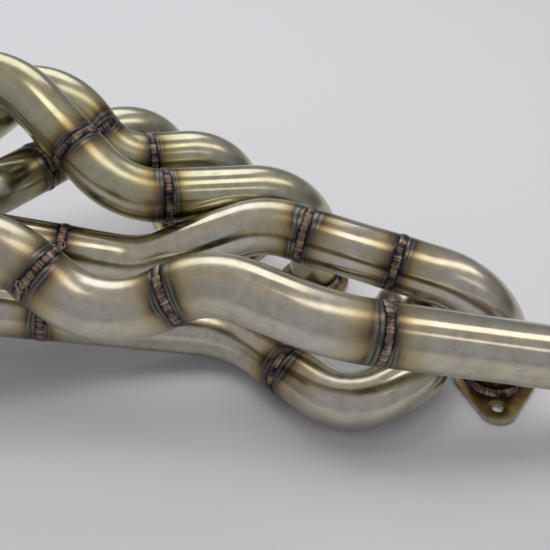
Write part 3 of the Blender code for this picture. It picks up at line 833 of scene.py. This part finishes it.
machined_rim = cut_edge("machined 304 rim", "#bdb8aa")
for name, mouth in MOUTHS.items():
    start = BODY_LENGTH + JOIN_GAP
    guide = line_mesh("outlet", [([mouth + AXIS * start, mouth + AXIS * (start + OUTLET_LENGTH)], False)],
                      {"bend_radius": ("FLOAT", (0, 0))})
    tube = grown(f"collector_{name}_outlet_skin", guide, tube_tree, {
        "Radius": THROAT_RADIUS, "Sides": OUTLET_SIDES, "Bend Points": 2, "Ring Spacing": RING_SPACING,
        "Start": 0.0, "End": OUTLET_LENGTH, "First Weld": 0.0, "Last Weld": OUTLET_LENGTH,
        "Material": satin_stainless}, wall=COLLECTOR_WALL)
    rim_start = start + OUTLET_LENGTH + JOIN_GAP
    inner = THROAT_RADIUS - COLLECTOR_WALL
    step = RIM_THICKNESS - RIM_LIP
    profile = ((0, inner), (0, THROAT_RADIUS + RIM_FOOT), (step, RIM_RADIUS - RIM_STEP), (step, RIM_RADIUS),
               (RIM_THICKNESS, RIM_RADIUS), (RIM_THICKNESS, inner))
    shape = bmesh.new()
    rings = [ring_at(shape, mouth + AXIS * (rim_start + along), radius, OUTLET_SIDES) for along, radius in profile]
    for first, second in zip(rings, rings[1:] + rings[:1]):
        walls(shape, first, second)
    bmesh.ops.recalc_face_normals(shape, faces=shape.faces)
    rim = finished(f"collector_{name}_outlet_rim", shape, (machined_rim,), RIM_ROUND, sharp=25)
    lines = [ring_line(mouth + AXIS * (BODY_LENGTH + JOIN_GAP / 2), AXIS, THROAT_RADIUS),
             ring_line(mouth + AXIS * (rim_start - JOIN_GAP / 2), AXIS, THROAT_RADIUS, RIM_BEAD)]
    beads(f"collector_{name}_welds", lines, f"collector_{name}", 40 + name)
    for piece, node, slot in ((tube, "outlet_tube", "tube"), (rim, "outlet_flange", "flange")):
        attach(piece, f"collector_{name}")
        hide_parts(f"collector_{name}_{node}")


# Spring tabs: 2 mm stainless ears, punched 5 mm and welded down both sides, one on each primary and one on each
# socket, in line along the top of the slip joint.
TAB_THICKNESS = 2 * MM
TAB_HALF = 6 * MM
TAB_HOLE = 2.5 * MM
SPRING_REACH = 8 * MM
SPRING_LENGTH = 60 * MM
SPRING_OVERHANG = 38 * MM
TAB_ROUND = 0.3 * MM
TAB_BEAD = 2.6 * MM
TAB_BEAD_OFFSET = 1.4 * MM          # from the ear's middle
TAB_POINTS = 20                     # round the ear's end
TAB_HOLE_SIDES = 24

for name, cylinders in SERVED.items():
    for number in cylinders:
        outward = socket_direction(number)
        across = AXIS.cross(outward)
        for piece_name, node, body, along, surface in (
                (f"primary_{number}_spring_ear", f"primary_{number}_tab", "header", -SPRING_OVERHANG, TUBE_RADIUS),
                (f"collector_{name}_spring_ear_{number}", f"collector_{name}_tab_{number}", f"collector_{name}",
                 SPRING_LENGTH - SPRING_OVERHANG, SOCKET_RADIUS)):
            hole_height = TUBE_RADIUS + SPRING_REACH - surface - JOIN_GAP
            turns = [math.pi * i / TAB_POINTS for i in range(TAB_POINTS + 1)]
            outline = [(-TAB_HALF, 0), (TAB_HALF, 0)] + [
                (TAB_HALF * math.cos(a), hole_height + TAB_HALF * math.sin(a)) for a in turns]
            shape = plate(outline, [(0, hole_height, TAB_HOLE, TAB_HOLE_SIDES, 0)], TAB_THICKNESS)
            foot = socket_of(number) + AXIS * along + outward * (surface + JOIN_GAP)
            turn = Matrix((AXIS, outward, across)).transposed().to_4x4()
            corner = foot - across * (TAB_THICKNESS / 2)
            bmesh.ops.transform(shape, verts=shape.verts, matrix=Matrix.Translation(corner) @ turn)
            ear = finished(piece_name, shape, (laser_cut_edge,), TAB_ROUND)
            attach(ear, body)
            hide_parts(node)
            lines = []
            for way in (-1, 1):
                line = [foot + AXIS * (TAB_HALF * share) + across * (way * TAB_BEAD_OFFSET)
                        for share in (-0.9, 0, 0.9)]
                lines.append((line, False, [(outward + across * way).normalized()] * 3, TAB_BEAD))
            beads(piece_name + "_weld", lines, body, 50 + number)


# Springs: close-wound extension springs of 1.8 mm stainless wire, 9 mm across the coil's middle, hooked from the
# primary's ear to the socket's ear so that they hold each collector home.
COIL_RADIUS = 4.5 * MM
WIRE_RADIUS = 0.9 * MM
HOOK_LEG = 8.5 * MM
COIL_TURNS = 22
TURN_POINTS = 16
WIRE_SIDES = 10
HOOK_FIRST = math.radians(250)
HOOK_SWEEP = math.radians(160)
HOOK_POINTS = 12

spring_wire, tree = new_material("drawn 302 stainless spring wire")
place = add_node(tree, "ShaderNodeTexCoord").outputs["Object"]
colour = ramp(tree, noise(tree, place, 700, 2), ((0.3, "#a6a49f", 1), (0.7, "#c4c2bc", 1)))
end_metal(tree, colour["Color"], 0.2)

wire_tree, given = new_tree("bent wire", (("Radius", "Float"), ("Sides", "Int"), ("Material", "Material")))
route = add_node(wire_tree, "GeometryNodeMeshToCurve", {0: given["Geometry"]})
circle = add_node(wire_tree, "GeometryNodeCurvePrimitiveCircle", {
    "Resolution": given["Sides"], "Radius": given["Radius"]})
skin = add_node(wire_tree, "GeometryNodeCurveToMesh", {
    "Curve": route.outputs[0], "Profile Curve": circle.outputs[0], "Fill Caps": True})
end_tree(wire_tree, skin.outputs[0], given["Material"])

hook = [(COIL_RADIUS * (1 + math.cos(a)), COIL_RADIUS * math.sin(a), 0)
        for a in (HOOK_FIRST - HOOK_SWEEP * index / HOOK_POINTS for index in range(HOOK_POINTS + 1))]
steps = COIL_TURNS * TURN_POINTS
coil = []
for index in range(steps + 1):
    angle = math.pi / 2 + math.tau * COIL_TURNS * index / steps
    coil.append((HOOK_LEG + (SPRING_LENGTH - 2 * HOOK_LEG) * index / steps,
                 COIL_RADIUS * math.sin(angle), COIL_RADIUS * math.cos(angle)))
spring_line = hook + coil + [(SPRING_LENGTH - x, y, z) for x, y, z in reversed(hook)]
for name, cylinders in SERVED.items():
    for number in cylinders:
        outward = socket_direction(number)
        across = AXIS.cross(outward)
        first = socket_of(number) - AXIS * SPRING_OVERHANG + outward * (TUBE_RADIUS + SPRING_REACH)
        points = [first + AXIS * x + across * y + outward * z for x, y, z in spring_line]
        guide = line_mesh("spring", [(points, False)], {})
        piece = grown(f"spring_{number}_wire", guide, wire_tree, {
            "Radius": WIRE_RADIUS, "Sides": WIRE_SIDES, "Material": spring_wire})
        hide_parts(f"spring_{number}")
        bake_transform(piece)


# Stage: a matt pale bench top, one softbox over its right end and one beyond it, a thin strip of light behind the
# viewer, a fill for the bench, and a grey room. They are not part of the header.
FLOOR_HALF = 3.0
bench = bpy.data.meshes.new("bench")
floor_corners = [(x * FLOOR_HALF, y * FLOOR_HALF, 0) for x, y in ((-1, -1), (1, -1), (1, 1), (-1, 1))]
bench.from_pydata(floor_corners, [], [(0, 1, 2, 3)])
bench_top = in_scene("bench", bench)
matt_white, tree = new_material("matt white laminate")
shader = add_node(tree, "ShaderNodeBsdfPrincipled", {"Base Color": srgb("#dddee3"), "Roughness": 0.6})
add_node(tree, "ShaderNodeOutputMaterial", {"Surface": shader.outputs[0]})
bench.materials.append(matt_white)

CAMERA_YAW, CAMERA_PITCH, CAMERA_ROLL = math.radians(44.04), math.radians(37.9), math.radians(1.97)
CAMERA_PLACE = Vector((0.4841, -0.1244, 0.4322))
AWAY = Vector((-math.sin(CAMERA_YAW), math.cos(CAMERA_YAW), 0))
ACROSS = Vector((math.cos(CAMERA_YAW), math.sin(CAMERA_YAW), 0))
UPRIGHT = Vector((0, 0, 1))
look = AWAY * math.cos(CAMERA_PITCH) - UPRIGHT * math.sin(CAMERA_PITCH)
down = -AWAY * math.sin(CAMERA_PITCH) - UPRIGHT * math.cos(CAMERA_PITCH)
rolled_right = ACROSS * math.cos(CAMERA_ROLL) + down * math.sin(CAMERA_ROLL)
rolled_down = down * math.cos(CAMERA_ROLL) - ACROSS * math.sin(CAMERA_ROLL)
lens = bpy.data.cameras.new("camera")
lens.lens = 50.36
lens.sensor_width = 36
lens.clip_start = 0.01
camera = in_scene("camera", lens)
turn = Matrix((rolled_right, -rolled_down, -look)).transposed().to_4x4()
camera.matrix_world = Matrix.Translation(CAMERA_PLACE) @ turn
bpy.context.scene.camera = camera

OBJECT_MIDDLE = Vector((0.12, 0.12, 0.08))


def soft_light(name, rise, swing, twist, distance, along, across, radiance, code):
    """A light that faces the header. rise turns it up from the far side of the bench and over towards the viewer, swing
    turns it to the right, and twist takes its right end further off."""
    rise, swing, twist = math.radians(rise), math.radians(swing), math.radians(twist)
    back = (AWAY * math.cos(rise) + UPRIGHT * math.sin(rise)) * math.cos(swing) + ACROSS * math.sin(swing)
    level = (ACROSS - back * ACROSS.dot(back)).normalized()
    side = level * math.cos(twist) + back.cross(level) * math.sin(twist)
    light = bpy.data.lights.new(name, "AREA")
    light.shape = "RECTANGLE"
    light.size = along
    light.size_y = across
    light.energy = math.pi * radiance * along * across
    light.color = srgb(code)[:3]
    made = in_scene(name, light)
    made.matrix_world = (Matrix.Translation(OBJECT_MIDDLE + back * distance)
                         @ Matrix((side, back.cross(side), back)).transposed().to_4x4())
    return made


# rise, swing and twist in degrees, then distance, length and width in metres, then radiance
soft_light("overhead softbox", 88, 28, 27, 1.8, 2.1, 0.5, 1.6, "#fffbec")
soft_light("far softbox", 43, -7, -12, 2.0, 2.0, 1.15, 1.45, "#ffffff")
soft_light("strip", 126, 36, 0, 1.8, 0.83, 0.2, 1.1, "#fff6e6")
# this one is for the bench alone, so the steel doesn't mirror it
soft_light("fill", 84, -10, 0, 2.2, 1.2, 1.2, 2.4, "#fbfcff").visible_glossy = False

world = bpy.data.worlds.new("room")
world.use_nodes = True
world.node_tree.nodes.clear()
tree = world.node_tree
heading = add_node(tree, "ShaderNodeTexCoord").outputs["Generated"]
beyond = add_node(tree, "ShaderNodeVectorMath", {0: heading, 1: tuple(AWAY)}, operation="DOT_PRODUCT")
height = add_node(tree, "ShaderNodeSeparateXYZ", {0: heading})
above = calculate(tree, "ABSOLUTE", height.outputs[2])
rise = calculate(tree, "ARCTAN2", above, beyond.outputs["Value"])
# from the horizon beyond the bench, over the ceiling, to the horizon behind the viewer
ceiling = ramp(tree, calculate(tree, "DIVIDE", rise, math.pi), (
    (0.0, "#8b8f8e", 1), (1.0, "#a8a9b2", 1), (0.12, "#929695", 1), (0.25, "#a9a8a4", 1), (0.35, "#b8b2b0", 1),
    (0.60, "#b8b2b0", 1), (0.72, "#adaeb4", 1)))
# from the left end of the room to its right end
sideways = add_node(tree, "ShaderNodeVectorMath", {0: heading, 1: tuple(ACROSS)}, operation="DOT_PRODUCT")
ends = ramp(tree, remapped(tree, sideways.outputs["Value"], 0, 1, -1, 1), (
    (0.0, "#c4c4c4", 1), (1.0, "#9a9a9a", 1), (0.12, "#ffffff", 1), (0.86, "#ffffff", 1), (0.93, "#dcdcdc", 1)))
walls_colour = mixed(tree, 1.0, ceiling[0], ends[0], "MULTIPLY")
room = add_node(tree, "ShaderNodeBackground", {"Color": walls_colour, "Strength": 1.0})
add_node(tree, "ShaderNodeOutputWorld", {"Surface": room.outputs[0]})
bpy.context.scene.world = world
bpy.context.scene.view_settings.view_transform = "Standard"
